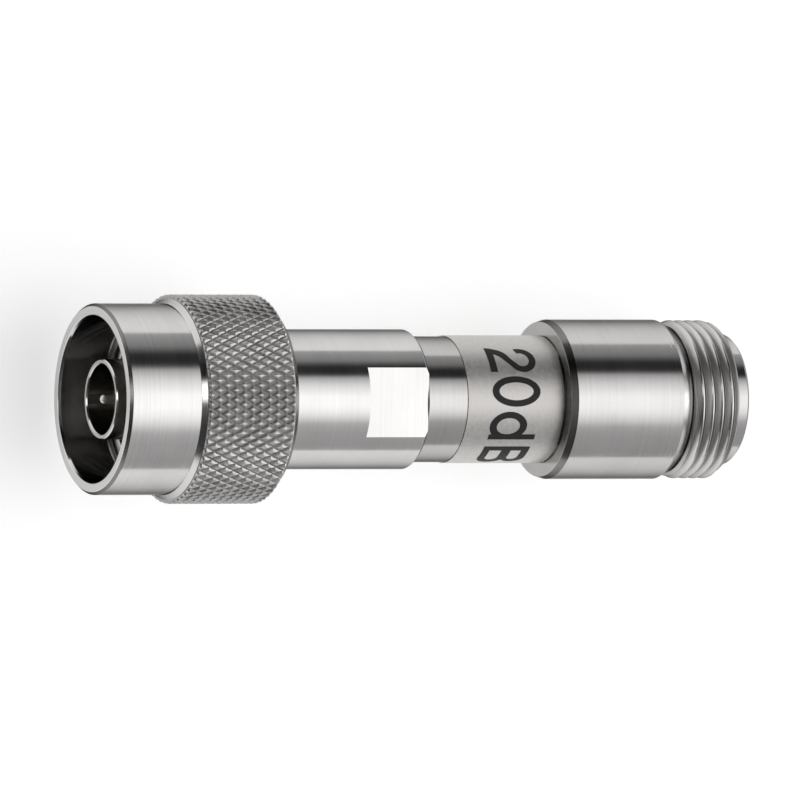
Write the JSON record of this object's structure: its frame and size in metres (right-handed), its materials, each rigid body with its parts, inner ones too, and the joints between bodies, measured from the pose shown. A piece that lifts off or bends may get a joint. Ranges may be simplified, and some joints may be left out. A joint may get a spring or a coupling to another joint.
{
  "type": "rf attenuator",
  "caption": "In-line coaxial fixed attenuator: knurled plug nut, turned barrels with wrench flats, labelled neck and a threaded jack end.",
  "frame": {"origin": "centre of the plug's reference plane, the front ring of its outer contact", "axes": "+X along the axis from the plug to the jack, +Z square to the wrench flats"},
  "size_m": [0.0694, 0.0208, 0.0208],
  "materials": {
    "nut_nickel": "turned nickel plate with a knurled grip",
    "body_nickel": "bright turned nickel plate",
    "contact_nickel": "bright plated contact",
    "gold": "gold plate",
    "spring_steel": "spring wire",
    "holder_brass": "machined",
    "silicone": "matte silicone",
    "ptfe": "matte white",
    "ceramic": "fired ceramic",
    "film": "dark resistive film",
    "silver_pad": "fired silver",
    "label_foil": "satin foil with dark print"
  },
  "bodies": {
    "barrel": {"nut_retaining_ring": "spring_steel", "sealing_gasket": "silicone", "male_body": "body_nickel", "male_outer_contact": "contact_nickel", "male_pin": "contact_nickel", "male_insulator": "ptfe", "housing_tube": "body_nickel", "rating_label": "label_foil", "card_holder_upper": "holder_brass", "card_holder_lower": "holder_brass", "resistor_card": "ceramic", "resistor_film": "film", "conductor_pads": "silver_pad", "input_contact_tab": "gold", "output_contact_tab": "gold", "female_body": "body_nickel", "female_outer_sleeve": "contact_nickel", "female_socket": "gold", "female_insulator": "ptfe"},
    "nut": {"coupling_nut": "nut_nickel"}
  },
  "joints": [
    {"name": "nut_spin", "type": "hinge", "parent": "barrel", "child": "nut", "pos_m": [0.0138, 0, 0], "axis": [1, 0, 0], "continuous": true}
  ]
}
